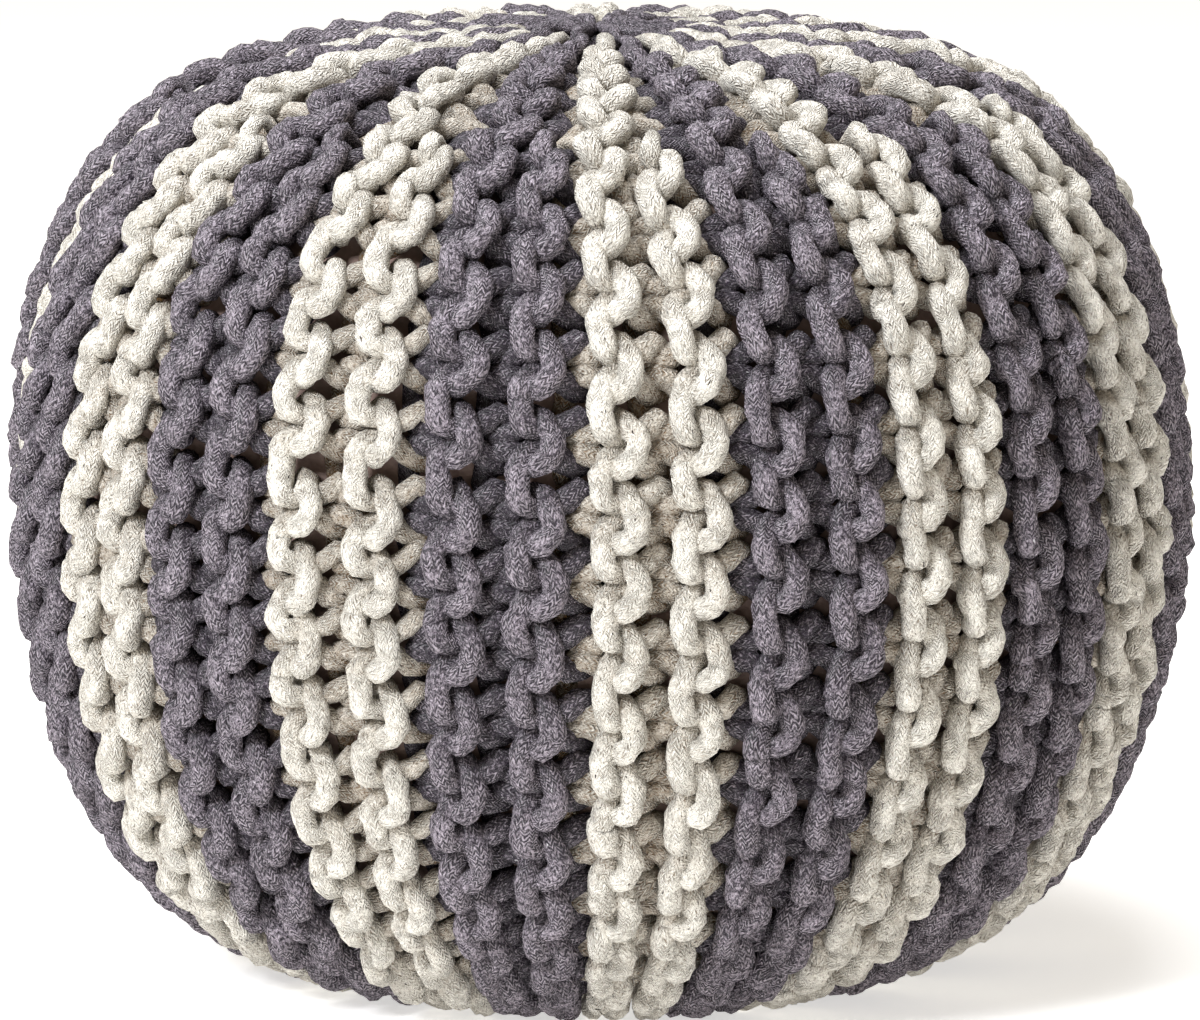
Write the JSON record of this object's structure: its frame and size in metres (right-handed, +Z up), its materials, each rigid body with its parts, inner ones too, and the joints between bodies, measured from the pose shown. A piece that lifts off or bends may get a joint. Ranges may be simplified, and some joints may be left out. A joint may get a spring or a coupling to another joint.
{
  "type": "knitted floor pouf",
  "caption": "Round filled floor pouf in a chunky knitted cover with vertical ridges and two-tone stripes, gathered at crown and base, with a flat resting base.",
  "frame": {"origin": "on the floor, under the centre of the pouf", "axes": "+Z up through the gathered crown, -Y towards the front stripe"},
  "size_m": [0.5, 0.4998, 0.3999],
  "materials": {
    "natural_cotton_cord": "matte natural cotton cord with fine seed flecks, knitted",
    "charcoal_cotton_cord": "matte dyed cotton cord, knitted"
  },
  "bodies": {
    "root": {"knitted_cover": "natural_cotton_cord", "crown_gather_cord": "charcoal_cotton_cord", "base_gather_cord": "charcoal_cotton_cord"}
  },
  "joints": []
}
